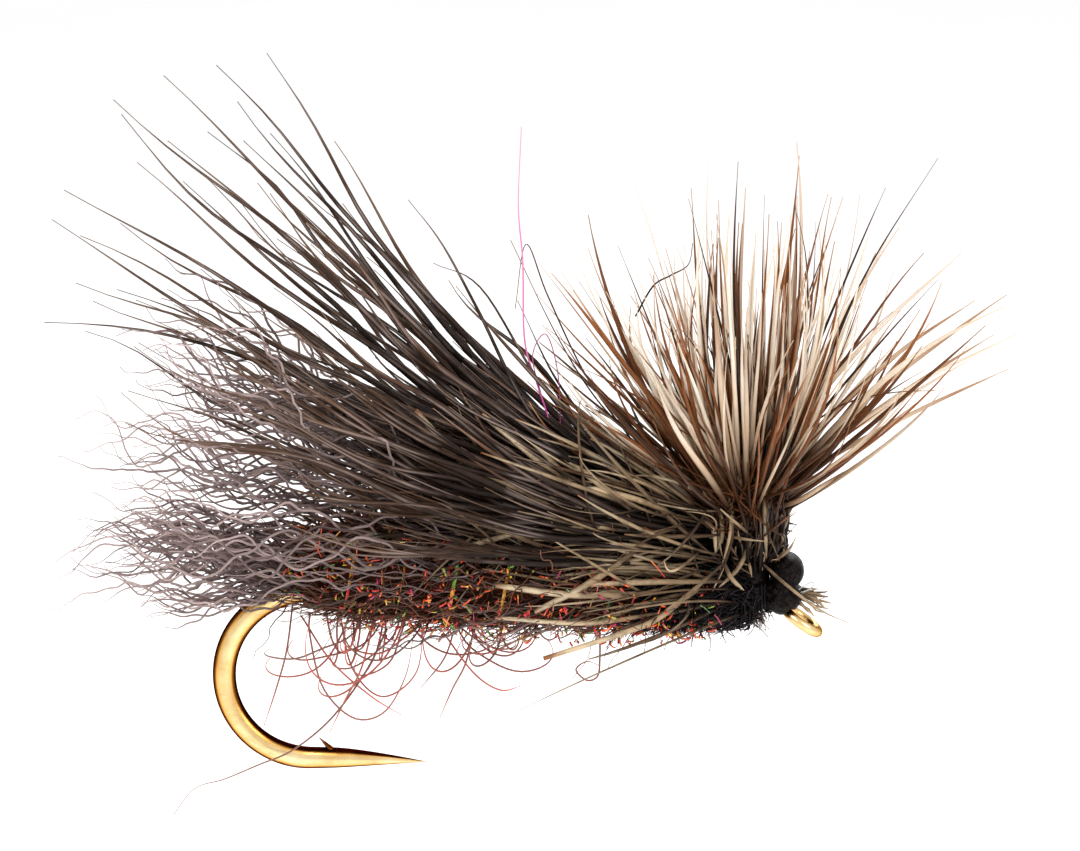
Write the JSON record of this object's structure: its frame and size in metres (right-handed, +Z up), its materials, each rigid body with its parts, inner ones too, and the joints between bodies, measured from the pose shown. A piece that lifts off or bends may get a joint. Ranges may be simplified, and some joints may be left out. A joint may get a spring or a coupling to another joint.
{
  "type": "dry fly",
  "caption": "Dry fly on a barbed down-eye hook: fur body, crinkled underwing, swept hair wing, upright hackle and foam head; it floats and carries the hook.",
  "frame": {"origin": "centre of the hook's eye, in the middle of its bore", "axes": "+X forward out of the eye, along the shank away from the bend; +Z up, towards the hackle; +Y the fly's left side; the hook's plane is Y = 0"},
  "size_m": [0.0223, 0.0119, 0.0177],
  "materials": {
    "hook_wire": "bronzed forged wire with a bright golden sheen",
    "black_thread": "waxed thread with a dull gloss",
    "dubbing_dark": "loose dark brown-black fur fibres",
    "thorax_fur": "black and blue-grey fur fibres",
    "flash_film": "glittering film in red, orange, gold and green",
    "pink_flash": "very fine pink film",
    "crinkled_fibre": "crimped grey-mauve synthetic fibre, silky",
    "dark_hair": "black-brown hollow hair, silky",
    "pale_butts": "cream and tan hair butts with singed orange ends",
    "brown_hackle": "glossy brown hackle barbs with dark bases",
    "grizzly_hackle": "cream and black-brown hackle barbs",
    "guard_hair": "springy reddish brown fibre",
    "black_foam": "closed-cell foam, fine pored, dull"
  },
  "bodies": {
    "root": {"hook": "hook_wire", "thread_underbody": "black_thread", "abdomen_dubbing": "dubbing_dark", "thorax_dubbing": "thorax_fur", "rib_strand": "flash_film", "guard_fibres": "guard_hair", "sparkle_fibres": "flash_film", "stray_fibre": "guard_hair", "trailing_shuck": "crinkled_fibre", "underwing_fibres": "crinkled_fibre", "wing_root": "dark_hair", "hair_wing": "dark_hair", "wing_butts": "pale_butts", "wing_binding": "black_thread", "wing_post": "dark_hair", "post_wraps": "black_thread", "brown_hackle_quill": "brown_hackle", "grizzly_hackle_quill": "grizzly_hackle", "brown_hackle_barbs": "brown_hackle", "grizzly_hackle_barbs": "grizzly_hackle", "side_barbs": "pale_butts", "flash_strands": "pink_flash", "thread_head": "black_thread", "whip_finish": "black_thread", "foam_head": "black_foam", "snout_hairs": "pale_butts", "belly_fluff": "thorax_fur", "thread_tag": "black_thread"}
  },
  "joints": []
}
